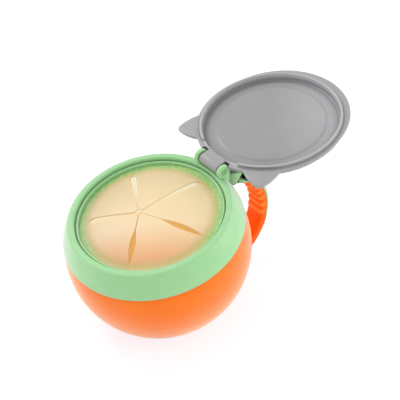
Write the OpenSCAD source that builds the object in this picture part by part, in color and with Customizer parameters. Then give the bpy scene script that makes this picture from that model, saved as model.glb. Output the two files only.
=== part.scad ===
// Toddler snack container: a ball-shaped bowl with a tilted rim, a lift-off collar
// with a soft five-flap membrane, a hinged lid with two ears and a C-shaped handle.
// Millimetres. Origin at the centre of the foot, +Z up, handle and hinge towards +X.
// The lid is drawn open. Heights named _h are above the ball's centre, along the rim's axis.

/* [Bowl] */
// Outer radius of the ball that the bowl is cut from
ball_r = 50; // [46:0.5:55]
// Height of the ball's centre above the table
centre_h = 42; // [39:0.5:44]
// Thickness of the bowl's wall
bowl_wall = 2.2; // [1.6:0.1:3]
// Thickness of the bowl's floor
floor_t = 3; // [2:0.1:4]
// Width of the foot ring under the floor
foot_w = 5; // [3:0.5:8]
// Depth of the recess inside the foot ring
foot_recess = 0.8; // [0.4:0.1:1.2]
// Radius of the pad in the middle of the foot
pad_r = 6; // [4:0.5:10]
// Height of the shoulder that the collar sits on
shoulder_h = 14.8; // [12:0.2:16]
// Thickness of the shoulder
shoulder_t = 2; // [1.6:0.1:2.6]
// Wall of the neck that stands up inside the collar
neck_wall = 2; // [1.4:0.1:2.4]
// How far the bead stands out of the neck
bead_d = 0.3; // [0.2:0.05:0.5]

/* [Rim] */
// Tilt of the rim away from level, raised at the hinge
rim_tilt = 10.3; // [0:0.1:14]
// Height of the lip's top
lip_h = 27.3; // [26:0.1:29]
// How far the collar stands out past the ball
collar_proud = 0.7; // [0.4:0.1:1]
// Wall of the collar
collar_wall = 2.2; // [1.6:0.1:2.6]
// Wall of the skirt inside the collar
skirt_wall = 1.7; // [1.2:0.1:2.2]
// How far the skirt is set in from the collar's outside
skirt_in = 1.1; // [0.8:0.1:1.5]
// Outer rounding of the lip
lip_round = 1.6; // [1.2:0.1:2]
// Inner rounding of the lip
lip_in_round = 0.8; // [0.4:0.1:1]
// Width of the lip from its crest to its inner wall
lip_w = 2.4; // [2:0.1:3]
// Groove between the lip and the sealing ridge
groove_w = 0.7; // [0.5:0.1:1]
// Width of the sealing ridge
ridge_w = 1.1; // [0.8:0.1:1.5]
// Depth of the ridge's top below the lip's top
ridge_d = 1.9; // [1.7:0.1:2.3]
// Depth of the groove's bottom below the lip's top
groove_d = 3.1; // [2.8:0.1:3.4]
// Width of the ledge that carries the membrane
ledge_w = 2.8; // [2.2:0.1:3.4]
// Depth of the ledge below the lip's top
ledge_d = 4.9; // [4.5:0.1:5.3]
// Thickness of the ledge
ledge_t = 1.4; // [1:0.1:1.8]

/* [Membrane] */
// Thickness of the soft membrane
skin_t = 1; // [0.8:0.1:1.3]
// Rise of the membrane's dome from the ledge to its middle
dome_rise = 4.8; // [3:0.2:5.4]
// Distance from the ledge's edge to the ends of the slits
slit_inset = 2.6; // [2:0.2:5]
// Width of a slit along its inner part
slit_w = 0.5; // [0.4:0.1:0.8]
// Width of a slit at its widest
leaf_w = 2.4; // [1.6:0.1:3]
// Share of a slit's length where it widens to a leaf
leaf_share = 0.56; // [0.4:0.02:0.7]
// Radius of the round hole at the end of a slit
slit_end_r = 0.8; // [0.7:0.05:1.1]
// Radius of the opening where the slits meet
star_r = 2.4; // [1.5:0.1:3.5]
// How far the meeting point lies towards the front
star_front = 5; // [0:0.5:6]
// How far the meeting point lies to the left
star_left = 1.5; // [0:0.5:3]
// Number of locking teeth in the ledge
tooth_count = 30; // [20:1:36]
// Length of a locking tooth across the ledge
tooth_len = 1.7; // [1:0.1:2]
// Height of a locking tooth
tooth_h = 0.6; // [0.4:0.1:0.7]
// Width of a locking tooth
tooth_w = 2; // [1.2:0.1:2.6]

/* [Hinge] */
// Height of the hinge axis above the lip's top
hinge_rise = 3.4; // [3.3:0.05:3.8]
// Distance of the hinge axis outside the lip's crest
hinge_out = 0.3; // [0:0.1:1]
// Radius of a hinge lug
lug_r = 3.8; // [3.4:0.1:4.2]
// Thickness of a hinge lug
lug_t = 2.7; // [2:0.1:3.4]
// Clear width between the two lugs
lug_gap = 15.4; // [13:0.2:18]
// How far the lug's front edge leans out at its foot
lug_lean = 2.3; // [1.6:0.1:3]
// Radius of the hinge pin
pin_r = 1.3; // [1:0.05:1.6]
// Angle from the closed lid to the open lid
open_angle = 178.2; // [100:0.2:179]

/* [Lid] */
// Radius of the lid's flange
flange_r = 42; // [41.5:0.1:43]
// Thickness of the flange and panel
lid_t = 1.8; // [1.4:0.1:2]
// How far the thumb lip stands out at the front
thumb_out = 3.6; // [2:0.2:5]
// Radius of the thumb lip's edge
thumb_r = 41; // [36:0.5:41.5]
// Height of the sealing rib below the flange
rib_h = 1.8; // [1.2:0.1:1.9]
// Thickness of the sealing rib
rib_t = 1.5; // [1.1:0.1:1.8]
// Depth of the panel's edge inside the flange
panel_d = 3; // [2.6:0.1:3.4]
// How far the middle of the panel is pressed back
press_d = 1; // [0.6:0.1:1.2]
// Width of the sloping band round the pressed middle
band_w = 6; // [4:0.5:8]
// Distance from the hinge axis to the straight edge of the hinge tab
tab_len = 5.7; // [5.2:0.1:6.5]
// Angle of each ear from the hinge
ear_angle = 41; // [36:1:48]
// Reach of an ear's tip from the lid's centre
ear_reach = 51.4; // [48:0.2:54]
// Rounding of an ear's tip
ear_tip_r = 1.8; // [1.2:0.1:3]
// Radius of an ear's bowed side
ear_side_r = 24; // [18:0.5:40]
// Slope of an ear's side at the tip
ear_slope = 36; // [30:1:42]

/* [Handle] */
// How far the handle loop's centre lies inside the ball's surface
loop_in = 10.9; // [8:0.1:14]
// How far the loop's centre lies below the ball's centre
loop_drop = 7.2; // [5:0.1:9]
// Outer radius of the handle loop
loop_r = 36.3; // [33:0.1:38]
// Thickness of the handle from inside to outside
handle_t = 6.3; // [5.5:0.1:7.5]
// Width of the handle
handle_w = 12.5; // [10:0.5:16]
// Rounding along the handle's edges
edge_round = 2; // [1:0.1:2.6]
// Thickness of the handle's spine outside the grip
spine_t = 2.1; // [1.4:0.1:2.6]
// Thickness of the spine's lower end
spine_tip = 0.4; // [0.3:0.1:0.8]
// Height of the grip's upper end above the ball's centre
grip_top = 19.2; // [16:0.2:20]
// Angle on the loop where the spine begins to run out
runout_angle = -1; // [-10:1:10]
// Angle on the loop of the handle's free end
tip_angle = -52; // [-54:1:-30]
// Number of finger ribs on the grip
finger_ribs = 6; // [3:1:8]
// Spacing of the finger ribs
rib_pitch = 5.3; // [4.5:0.1:7]
// Angle on the loop of the first finger rib
rib_first = 47; // [40:1:50]
// How far a finger rib stands out
rib_out = 0.8; // [0.4:0.1:1.2]
// Distance from a finger rib's end to the side of the grip
rib_inset = 2.3; // [2.1:0.1:3.5]
// Radius of a finger rib's section
finger_r = 1.4; // [1.3:0.1:2]
// Width of the core inside the grip
core_w = 6; // [4:0.5:8]
// Thickness of the core inside the grip
core_t = 2.3; // [1.6:0.1:2.8]
// Length of the grip past the end of the core, as an angle on the loop
tip_cover = 6; // [4:1:12]
// Thickness of the arm's inner flange
arm_t = 2.3; // [1.8:0.1:3]
// Thickness of the arm's middle web
arm_web = 3; // [2:0.2:5]
// Angle on the loop where the arm's side pockets end
pocket_angle = 56; // [53:1:60]
// Thickness of a cheek of the collar's bracket
cheek_t = 1.5; // [1.2:0.1:2]
// Angle on the loop where the bracket's cheeks end
cheek_angle = 72; // [70:1:76]
// Height of the bracket at the collar, above the ball's centre
bracket_h = 33; // [31:0.2:33.4]
// Length of the bracket's slanted end
bracket_end = 7.6; // [6.5:0.1:9]
// Slope of the bracket's slanted end
bracket_slope = 58; // [50:1:70]

/* [Clearances] */
// Gap between the bowl's neck and the collar's skirt
neck_gap = 0.3; // [0.25:0.05:0.5]
// Gap between the collar and the bowl's shoulder
seat_gap = 0.1; // [0.05:0.05:0.3]
// Gap at the root of each flap
root_gap = 1; // [0.3:0.1:1.4]
// Gap round each locking tooth
tooth_gap = 0.1; // [0.05:0.05:0.2]
// Gap at each end of the lid's hinge barrel
barrel_gap = 0.3; // [0.2:0.05:0.5]
// Gap round the hinge lugs in the lid
lug_clear = 0.5; // [0.4:0.05:0.8]
// Radial play of the hinge pin in the lid
pin_play = 0.05; // [0.02:0.01:0.1]
// Radial gap of the hinge pin in the lugs
pin_fit = 0.02; // [0.01:0.01:0.05]
// Gap under the closed lid's flange
lid_gap = 0.3; // [0.2:0.05:0.5]
// Gap between the lid's rib and the lip's inner wall
rib_gap = 0.4; // [0.3:0.05:0.6]
// Gap between the handle's root and its bracket
root_fit = 0.1; // [0.05:0.05:0.2]

/* [Hidden] */
$fn = 120;
over = 1;
big = 200;
flap_count = 5;

orange = [1.0, 0.5, 0.16];
deep_orange = [1.0, 0.4, 0.08];
green = [0.62, 0.82, 0.6];
peach = [0.95, 0.84, 0.68];
grey = [0.66, 0.66, 0.68];

// Ball, collar and neck
foot_r = sqrt(pow(ball_r, 2) - pow(centre_h, 2));
collar_r = ball_r + collar_proud;
collar_in_r = collar_r - collar_wall;
seat_h = shoulder_h + seat_gap;
lip_crest_h = lip_h - lip_round;
lip_proud = 0.05;
lip_centre_r = collar_r - lip_round + lip_proud;
lip_crest_r = sqrt(pow(lip_centre_r, 2) - pow(lip_crest_h, 2));
lip_join = collar_r / lip_centre_r;
lip_in_r = lip_crest_r - lip_w;
ridge_out_r = lip_in_r - groove_w;
ridge_in_r = ridge_out_r - ridge_w;
ridge_h = lip_h - ridge_d;
groove_h = lip_h - groove_d;
ledge_r = ridge_in_r - ledge_w;
ledge_h = lip_h - ledge_d;
ledge_under_h = ledge_h - ledge_t;
skirt_out_r = sqrt(pow(collar_r, 2) - pow(ledge_under_h, 2)) - skirt_in;
skirt_r = skirt_out_r - skirt_wall;
neck_r = skirt_r - neck_gap - bead_d;
neck_top_h = ledge_under_h - neck_gap;
bead_h = (shoulder_h + neck_top_h) / 2 + over;
bead_r = 2 * bead_d;

// Membrane: a shallow dome, cut into flaps that meet at the star
dome_r = (pow(ledge_r, 2) + pow(dome_rise, 2)) / (2 * dome_rise);
dome_edge_h = ledge_h + skin_t;
dome_centre_h = dome_edge_h + dome_rise - dome_r;
slit_r = ledge_r - slit_inset;
flap_step = 360 / flap_count;
root_r = slit_r * cos(flap_step / 2);
star = [-star_front, star_left];
tooth_r = ridge_in_r - ledge_w / 2;

// Hinge and lid, given for the closed lid
hinge_x = lip_crest_r + hinge_out;
hinge_h = lip_h + hinge_rise;
lug_out = lug_gap / 2 + lug_t;
barrel_half = lug_gap / 2 - barrel_gap;
barrel_r = hinge_rise - lid_gap;
pin_end = 0.4;
pin_chamfer = 0.2;
flange_h = lip_h + lid_gap;
rib_out_r = lip_in_r - rib_gap;
rib_in_r = rib_out_r - rib_t;
panel_h = flange_h + panel_d;
middle_h = panel_h - press_d;
press_r = rib_in_r - band_w;
thumb_x = thumb_r - flange_r - thumb_out;
ear_side_x = ear_reach - ear_tip_r - (ear_side_r - ear_tip_r) * cos(ear_slope);
ear_side_y = (ear_side_r - ear_tip_r) * sin(ear_slope);
ear_join_x = ear_reach - ear_tip_r + ear_tip_r * cos(ear_slope);
ear_proud = 0.03;
tab_x = hinge_x - tab_len;
rib_set = 0.15;
rib_end = acos(tab_x / ((rib_in_r + rib_out_r) / 2));
notch_r = lug_r + lug_clear;
notch_out = lug_out + lug_clear;

// Handle loop and the bracket that holds it
loop_x = ball_r - loop_in;
loop_z = centre_h - loop_drop;
bite = 0.2;
flange_end = cheek_angle - 2.5;
inner_r = loop_r - handle_t;
mid_r = loop_r - handle_t / 2;
spine_in_r = loop_r - spine_t;
runout_cut = 0.2;
runout_end = runout_angle - acos((spine_in_r - runout_cut) / (loop_r - spine_tip));
core_out_r = spine_in_r + bite;
core_end = tip_angle + tip_cover;
grip_top_z = grip_top + loop_drop;
root_end = 100;
rib_step = rib_pitch / inner_r * 180 / PI;
root_w = handle_w - 2 * cheek_t - 2 * root_fit;

// Turns children from the rim's frame to the part's frame
module rim_frame() {
    translate([0, 0, centre_h]) rotate([0, -rim_tilt, 0]) children();
}

// Turns children about the hinge, from the closed lid to the open lid
module open_lid() {
    translate([hinge_x, 0, hinge_h]) rotate([0, open_angle, 0]) translate([-hinge_x, 0, -hinge_h]) children();
}

// Everything below a level in the part's frame
module below(level) {
    translate([-big / 2, -big / 2, level - big]) cube(big);
}

// A 2D box from its lowest to its highest corner
module box2(x0, y0, x1, y1) {
    translate([x0, y0]) square([x1 - x0, y1 - y0]);
}

// Sector of a ring about the handle loop's centre; the child is its section
module loop_sector(from, to) {
    translate([loop_x, 0, loop_z]) rotate([90, 0, 0]) rotate([0, 0, from]) rotate_extrude(angle = to - from) children();
}

// Plain square section of a loop sector
module bar(r0, r1, width) {
    box2(r0, -width / 2, r1, width / 2);
}

// Section of the handle from its middle outwards, with rounded edges
module half_section() {
    flat_half = handle_w / 2 - edge_round;
    box2(0, -flat_half, handle_t / 2, flat_half);
    box2(0, -handle_w / 2, handle_t / 2 - edge_round, handle_w / 2);
    intersection() {
        for (side = [-1, 1]) translate([handle_t / 2 - edge_round, side * flat_half]) circle(edge_round);
        box2(0, -handle_w, handle_t, handle_w);
    }
}

// Section of the whole handle
module handle_section() {
    translate([mid_r, 0]) {
        half_section();
        mirror([1, 0]) half_section();
    }
}

// Rounded free end of the handle
module handle_tip() {
    translate([loop_x, 0, loop_z]) rotate([90, 0, 0]) rotate([0, 0, tip_angle]) translate([mid_r, 0, 0])
        rotate([0, 0, 180]) rotate_extrude(angle = 180) half_section();
}

// Space inside the handle that the grip may fill, seen from the side
module grip_zone() {
    translate([loop_x, handle_w, loop_z]) rotate([90, 0, 0]) linear_extrude(2 * handle_w) intersection() {
        union() {
            circle(spine_in_r);
            rotate(runout_angle) box2(0, -loop_r, spine_in_r - runout_cut, 0);
            rotate(runout_end) box2(0, -loop_r - over, loop_r + over, 0);
        }
        box2(-big, -big, big, grip_top_z);
    }
}

// Outside of the bowl, about the rim's axis
module bowl_outside() {
    rotate_extrude() {
        intersection() {
            circle(ball_r);
            box2(0, -big, big, shoulder_h);
        }
        box2(0, 0, neck_r, neck_top_h);
        translate([neck_r - bead_d, bead_h]) circle(bead_r);
    }
}

// Inside of the bowl, about the rim's axis
module bowl_inside() {
    rotate_extrude() {
        intersection() {
            circle(ball_r - bowl_wall);
            box2(0, -big, big, shoulder_h - shoulder_t);
        }
        box2(0, 0, neck_r - neck_wall, neck_top_h + over);
    }
}

// Bowl with a flat foot ring
module bowl() {
    color(orange) difference() {
        rim_frame() bowl_outside();
        difference() {
            rim_frame() bowl_inside();
            below(floor_t);
        }
        below(0);
        rotate_extrude() box2(pad_r, -over, foot_r - foot_w, foot_recess);
    }
}

// Section of the collar
module collar_section() {
    difference() {
        union() {
            intersection() {
                circle(collar_r);
                box2(ledge_r, seat_h, big, lip_join * lip_crest_h);
            }
            translate([lip_crest_r, lip_crest_h]) circle(lip_round);
            box2(lip_in_r + lip_in_round, ledge_h, lip_crest_r, lip_h);
            translate([lip_in_r + lip_in_round, lip_h - lip_in_round]) circle(lip_in_round);
        }
        box2(0, lip_h - lip_in_round, lip_in_r, lip_h);
        box2(0, groove_h, lip_in_r, lip_h - lip_in_round);
        box2(0, ledge_h, ridge_in_r, lip_h);
        box2(0, 0, skirt_r, ledge_under_h);
        difference() {
            intersection() {
                circle(collar_in_r);
                box2(0, 0, big, ledge_under_h);
            }
            box2(0, seat_h + over, skirt_out_r, big);
        }
    }
    translate([ridge_in_r + ridge_w / 2, ridge_h - ridge_w / 2]) circle(ridge_w / 2);
    box2(ridge_in_r, groove_h - over, ridge_out_r, ridge_h - ridge_w / 2);
}

// Hinge lug on the lip, seen along the hinge axis
module lug_outline() {
    translate([hinge_x, hinge_h]) circle(lug_r);
    polygon([[hinge_x - lug_r, hinge_h], [lip_in_r, lip_crest_h], [lip_in_r, groove_h],
             [hinge_x + lug_lean, ledge_under_h + over], [hinge_x + lug_r, hinge_h]]);
}

// Cheek of the handle bracket, seen from the side, about the ball's centre
module cheek_outline() {
    low = [loop_x + inner_r * cos(cheek_angle), inner_r * sin(cheek_angle) - loop_drop];
    high = low + bracket_end * [cos(bracket_slope), sin(bracket_slope)];
    polygon([[0, low[1]], [0, bracket_h], [loop_x, bracket_h], high, low]);
}

// Teeth that lock the membrane in the ledge
module teeth(gap) {
    for (i = [0 : tooth_count - 1]) rotate(i * 360 / tooth_count)
        translate([tooth_r - tooth_len / 2 - gap, -tooth_w / 2 - gap, ledge_h - over])
            cube([tooth_len + 2 * gap, tooth_w + 2 * gap, tooth_h + gap + over]);
}

// Collar with its lip, ledge, hinge lugs and handle bracket
module collar() {
    color(green) {
        rim_frame() difference() {
            union() {
                rotate_extrude() collar_section();
                teeth(0);
                for (side = [-1, 1]) translate([0, side * (lug_gap + lug_t) / 2 + lug_t / 2, 0])
                    rotate([90, 0, 0]) linear_extrude(lug_t) lug_outline();
            }
            translate([hinge_x, 0, hinge_h]) rotate([90, 0, 0])
                cylinder(h = 2 * lug_out + 2 * over, r = pin_r + pin_fit, center = true);
        }
        for (side = [-1, 1]) translate([0, side * (handle_w - cheek_t) / 2 + cheek_t / 2, centre_h])
            difference() {
                rotate([90, 0, 0]) linear_extrude(cheek_t) cheek_outline();
                sphere(collar_r - collar_wall / 2);
                rotate([0, -rim_tilt, 0]) intersection() {
                    sphere(collar_r);
                    below(seat_h);
                }
            }
    }
}

// Core that runs inside the grip
module core(gap) {
    loop_sector(core_end, pocket_angle - over) bar(spine_in_r - core_t - gap, core_out_r, core_w + 2 * gap);
}

// Handle frame: root in the bracket, cored arm, spine and the core inside the grip
module handle_frame() {
    color(green) {
        difference() {
            loop_sector(cheek_angle, root_end) bar(inner_r, loop_r, root_w);
            translate([0, 0, centre_h]) sphere(collar_r + root_fit);
        }
        difference() {
            loop_sector(runout_end, flange_end) handle_section();
            loop_sector(pocket_angle, cheek_angle) {
                box2(inner_r + arm_t, arm_web / 2, loop_r + over, handle_w);
                box2(inner_r + arm_t, -handle_w, loop_r + over, -arm_web / 2);
            }
            grip_zone();
        }
        loop_sector(flange_end - over, cheek_angle + over) bar(inner_r + over, loop_r - over, arm_web);
        core(0);
    }
}

// Soft grip, moulded over the inside and the free end of the handle
module handle_grip() {
    color(deep_orange) difference() {
        union() {
            intersection() {
                union() {
                    loop_sector(tip_angle, cheek_angle) handle_section();
                    handle_tip();
                }
                grip_zone();
            }
            for (i = [0 : finger_ribs - 1])
                translate([loop_x, 0, loop_z]) rotate([90, 0, 0]) rotate(rib_first - i * rib_step)
                    translate([inner_r + finger_r - rib_out, 0, 0])
                        cylinder(h = handle_w - 2 * rib_inset, r = finger_r, center = true, $fn = 32);
        }
        core(0);
    }
}

// End of slit k, and a point well beyond it on the slit's line
function slit_end(k) = slit_r * [cos(k * flap_step), sin(k * flap_step)];
function past_slit(k) = star + 2 * (slit_end(k) - star);

// Outline of one slit, from the star to its end
module slit(k) {
    run = slit_end(k) - star;
    len = norm(run);
    leaf = len * leaf_share;
    leaf_r = (pow(leaf, 2) + pow(leaf_w, 2)) / (4 * leaf_w);
    translate(star) rotate(atan2(run[1], run[0])) {
        box2(0, -slit_w / 2, len - slit_end_r, slit_w / 2);
        translate([len - leaf / 2, 0]) intersection() {
            translate([0, leaf_r - leaf_w / 2]) circle(leaf_r);
            translate([0, leaf_w / 2 - leaf_r]) circle(leaf_r);
        }
        translate([len - slit_end_r, 0]) circle(slit_end_r);
    }
}

// Shell of the membrane's dome
module dome() {
    rotate_extrude() translate([0, dome_centre_h]) intersection() {
        difference() {
            circle(dome_r, $fn = 720);
            circle(dome_r - skin_t, $fn = 720);
        }
        box2(0, 0, ledge_r, big);
    }
}

// Area of all flaps, from root to root
module flap_field(gap) {
    circle(slit_r - gap / cos(flap_step / 2), $fn = flap_count);
}

module membrane_rim() {
    color(peach) rim_frame() difference() {
        union() {
            dome();
            rotate_extrude() box2(ledge_r - over, ledge_h, ridge_in_r - tooth_gap, dome_edge_h);
        }
        linear_extrude(big) flap_field(0);
        teeth(tooth_gap);
    }
}

// One flap: the dome between two slits
module flap(k) {
    color(peach) rim_frame() intersection() {
        dome();
        linear_extrude(big) difference() {
            intersection() {
                flap_field(root_gap);
                polygon([star, past_slit(k - 1), past_slit(k)]);
            }
            slit(k - 1);
            slit(k);
            translate(star) circle(star_r);
        }
    }
}

// Pointed ear with bowed sides and a rounded tip, along +X
module ear_outline() {
    intersection() {
        translate([ear_side_x, ear_side_y]) circle(ear_side_r);
        translate([ear_side_x, -ear_side_y]) circle(ear_side_r);
        box2(rib_out_r, -big / 2, ear_join_x, big / 2);
    }
    translate([ear_reach - ear_tip_r, 0]) circle(ear_tip_r + ear_proud);
}

// Section of the lid's wall, panel and rib, closed
module lid_section() {
    polygon([[0, middle_h], [press_r, middle_h], [rib_in_r, panel_h], [rib_in_r, panel_h + lid_t],
             [press_r, middle_h + lid_t], [0, middle_h + lid_t]]);
    intersection() {
        translate([rib_in_r, panel_h]) circle(lid_t);
        box2(rib_in_r, panel_h, big, big);
    }
    box2(rib_in_r, flange_h, rib_in_r + lid_t, panel_h);
}

// Section of the sealing rib
module rib_section() {
    tip_r = (rib_t - rib_set) / 2;
    tip_h = flange_h - rib_h + tip_r;
    box2(rib_out_r - 2 * tip_r, tip_h, rib_out_r, flange_h + lid_t / 2);
    translate([rib_out_r - tip_r, tip_h]) circle(tip_r);
}

// Space that the hinge lugs need in the lid
module lug_space() {
    for (side = [-1, 1]) translate([hinge_x, side * (barrel_half + notch_out) / 2, hinge_h]) {
        rotate([90, 0, 0]) cylinder(h = notch_out - barrel_half, r = notch_r, center = true);
        translate([-notch_r, (barrel_half - notch_out) / 2, -big / 2])
            cube([big, notch_out - barrel_half, big / 2]);
    }
}

// Lid, drawn closed
module closed_lid() {
    difference() {
        union() {
            rotate_extrude() lid_section();
            translate([0, 0, flange_h]) linear_extrude(lid_t) difference() {
                union() {
                    circle(flange_r);
                    translate([thumb_x, 0]) circle(thumb_r);
                    for (side = [-1, 1]) rotate(side * ear_angle) ear_outline();
                }
                circle(rib_in_r);
            }
            rotate(rib_end) rotate_extrude(angle = 360 - 2 * rib_end) rib_section();
            intersection() {
                translate([0, 0, flange_h]) cylinder(h = panel_d, r = rib_in_r + lid_t / 2);
                translate([tab_x, -big / 2, 0]) cube(big);
            }
            translate([tab_x, -barrel_half, flange_h]) cube([hinge_x - tab_x, 2 * barrel_half, lid_t]);
            translate([hinge_x, 0, hinge_h]) rotate([90, 0, 0])
                cylinder(h = 2 * barrel_half, r = barrel_r, center = true);
        }
        lug_space();
        translate([hinge_x, 0, hinge_h]) rotate([90, 0, 0])
            cylinder(h = big, r = pin_r + pin_play, center = true);
    }
}

// Lid with its thumb lip, ears and hinge barrel, laid open
module lid() {
    color(grey) rim_frame() open_lid() closed_lid();
}

// Hinge pin with chamfered ends
module hinge_pin() {
    color(green) rim_frame() translate([hinge_x, 0, hinge_h]) rotate([90, 0, 0]) {
        cylinder(h = 2 * lug_out, r = pin_r, center = true);
        for (side = [-1, 1]) rotate([side * 90 - 90, 0, 0]) translate([0, 0, lug_out])
            cylinder(h = pin_end, r1 = pin_r, r2 = pin_r - pin_chamfer);
    }
}

bowl();
collar();
handle_frame();
handle_grip();
membrane_rim();
flap(1);  // flap_1
flap(2);  // flap_2
flap(3);  // flap_3
flap(4);  // flap_4
flap(5);  // flap_5
lid();
hinge_pin();
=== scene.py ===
import math

import bpy
from mathutils import Matrix, Vector


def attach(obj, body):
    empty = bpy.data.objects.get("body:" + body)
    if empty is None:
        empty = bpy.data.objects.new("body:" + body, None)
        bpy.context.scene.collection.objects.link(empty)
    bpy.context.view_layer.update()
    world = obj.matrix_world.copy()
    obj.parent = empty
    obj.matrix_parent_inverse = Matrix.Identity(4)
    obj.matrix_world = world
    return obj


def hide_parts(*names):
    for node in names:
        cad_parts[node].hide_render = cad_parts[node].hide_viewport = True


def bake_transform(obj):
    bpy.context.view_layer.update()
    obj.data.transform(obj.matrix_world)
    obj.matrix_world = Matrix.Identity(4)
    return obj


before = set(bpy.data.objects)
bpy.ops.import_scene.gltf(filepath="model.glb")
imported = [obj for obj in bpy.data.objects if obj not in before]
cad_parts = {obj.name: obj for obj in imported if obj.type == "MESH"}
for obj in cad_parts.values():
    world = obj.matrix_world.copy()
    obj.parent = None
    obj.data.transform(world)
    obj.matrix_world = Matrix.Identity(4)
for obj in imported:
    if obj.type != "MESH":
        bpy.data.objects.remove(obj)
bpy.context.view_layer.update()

# Sizes are in millimetres. Names that end in R are radii, and those that end in H are heights along the
# rim's axis from the ball's centre, unless a comment says otherwise.
MM = 0.001
TILT = math.radians(10.3)

# Bowl: CENTRE_H and FLOOR_T are measured from the table
BALL_R, CENTRE_H = 50.0, 42.0
BOWL_WALL, FLOOR_T = 2.2, 3.0
FOOT_W, FOOT_RECESS, PAD_R = 5.0, 0.8, 6.0
SHOULDER_H, SHOULDER_T = 14.8, 2.0
NECK_R, NECK_TOP_H, NECK_WALL = 42.75, 20.7, 2.0
BEAD = 0.3

# Collar
COLLAR_R, SEAT_H = 50.7, 14.9
LIP_H, LIP_IN_R, LIP_ROUND = 27.3, 39.495, 1.6
CREST_R, CREST_H = 41.895, 25.7
RIDGE_OUT_R, RIDGE_IN_R, RIDGE_H, GROOVE_H = 38.795, 37.695, 25.4, 24.2
LEDGE_R, LEDGE_H, LEDGE_UNDER_H = 34.895, 22.4, 21.0
SKIRT_R, SKIRT_OUT_R = 43.35, 45.05
SIDE_IN_TOP_R, SIDE_IN_LOW_R = 44.6, 46.3

# Hinge: its axis runs along Y, at a place given as (distance from the rim's axis, height)
HINGE = (42.195, 30.7)
OPEN = math.radians(178.2)
LUG_R, LUG_IN, LUG_OUT, LUG_GAP = 3.8, 7.7, 10.4, 0.35
TAB_HALF_W, TAB_X = 7.0, 36.495
PIN_R, PIN_HEAD_R = 1.27, 1.5

# Membrane: slits are counted from the one towards the hinge, FLAP_ANGLE degrees apart
DOME_RISE, SKIN_T = 4.8, 1.0
SLIT_END_R, STAR, STAR_R = 32.295, (-5.0, 1.5), 2.5
FLAP_ANGLE = 72
FRONT_SLITS = (3, 4)
CLOSED_HALF_W = 0.04
LEAF_HALF_W, LEAF_LINE, LEAF_SHARE = 1.45, 0.12, 0.62
WEDGE_START, WEDGE_GROWTH, WEDGE_SHARE, TAIL_SHARE = 0.42, 1.38, 0.88, 0.16
WEB_DROP, WEB_UNDER, LIP_EXTRA = 0.55, 0.95, 0.7
EDGE_STEP = 0.13

# Lid, as it lies closed on the collar: the rib grows from nothing to full between two angles in degrees
FLANGE_H, FLANGE_R, LID_T = 27.6, 41.2, 1.8
RIB_OUT_R, RIB_IN_R, RIB_H = 39.095, 37.595, 1.8
RIB_NONE, RIB_FULL = 22.0, 22.5
PANEL_H, MIDDLE_H, PRESS_R = 30.6, 29.6, 29.8
THUMB_X, THUMB_R = -4.2, 40.0
EAR_ANGLE, EAR_TIP_X, EAR_TIP_R, EAR_MEET_X = math.radians(41), 49.6, 1.8, 51.06
EAR_SIDE_X, EAR_SIDE_Y, EAR_SIDE_R = 31.64, 13.05, 24.0
NOTCH_ANGLE, NOTCH_X = math.radians(15.2), 37.9

# Handle: a loop about a point given as (x, height above the table); its angles are in degrees
LOOP = (39.1, 34.8)
LOOP_R, INNER_R, SPINE_IN_R = 36.3, 30.0, 34.2
GRIP_TOP, GRIP_RUNOUT, GRIP_TIP = 56, -1.0, -52.0
GRIP_HALF_W, GRIP_ROUND, GRIP_LEVEL = 6.25, 2.0, CENTRE_H + 19.2
FINGER_FIRST, FINGER_STEP, FINGER_DEPTH = math.radians(47), 5.3 / 30.0, 0.75
BRACKET_X, BRACKET_TOP, BRACKET_T = 38, CENTRE_H + 33, 7.6
CHEEK_LOW, CHEEK_LEAN, CHEEK_IN, CHEEK_OUT = math.radians(72), math.radians(58), 4.75, 6.25

RIM = Matrix.Translation((0, 0, CENTRE_H)) @ Matrix.Rotation(-TILT, 4, "Y")
ABOUT_HINGE = Matrix.Translation((HINGE[0], 0, HINGE[1]))
LID = RIM @ ABOUT_HINGE @ Matrix.Rotation(OPEN, 4, "Y") @ ABOUT_HINGE.inverted()
WORLD = Matrix.Identity(4)

# Directions across the object: towards the photo's near side, and towards its right
NEAR_SIDE = (-0.614, -0.789, 0.0)
RIGHT_SIDE = (0.789, -0.614, 0.0)
LEFT_SIDE = (-0.789, 0.614, 0.0)


# Mesh helpers

def make(name, verts, faces, material, body=None, slot=None, place=WORLD, sharp=38.0, extras=()):
    """A mesh object from millimetre vertices, moved by place, shaded smooth with sharp corners kept."""
    mesh = bpy.data.meshes.new(name)
    mesh.from_pydata([tuple((place @ Vector(v)) * MM) for v in verts], [], faces)
    mesh.shade_smooth()
    mesh.set_sharp_from_angle(angle=math.radians(sharp))
    mesh.materials.append(material)
    for number, (other, chosen) in enumerate(extras, 1):
        mesh.materials.append(other)
        for i in chosen:
            mesh.polygons[i].material_index = number
    obj = bpy.data.objects.new(name, mesh)
    bpy.context.scene.collection.objects.link(obj)
    if body:
        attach(obj, body)
    return obj


def rounded(points, steps=5):
    """A closed outline with its corners rounded. Each point is (x, y, radius)."""
    out = []
    for i, (x, y, r) in enumerate(points):
        if r <= 0:
            out.append((x, y))
            continue
        p = Vector((x, y))
        a = Vector(points[i - 1][:2]) - p
        b = Vector(points[(i + 1) % len(points)][:2]) - p
        la, lb = a.length, b.length
        a, b = a / la, b / lb
        half = math.acos(max(-1.0, min(1.0, a.dot(b)))) / 2
        run = min(r / math.tan(half), la * 0.49, lb * 0.49)
        r = run * math.tan(half)
        centre = p + (a + b).normalized() * (r / math.sin(half))
        start, end = p + a * run - centre, p + b * run - centre
        turn = math.pi - 2 * half
        side = 1 if start.cross(end) > 0 else -1
        for k in range(steps + 1):
            angle = side * turn * k / steps
            c, s = math.cos(angle), math.sin(angle)
            out.append((centre.x + start.x * c - start.y * s, centre.y + start.x * s + start.y * c))
    return out


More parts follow.
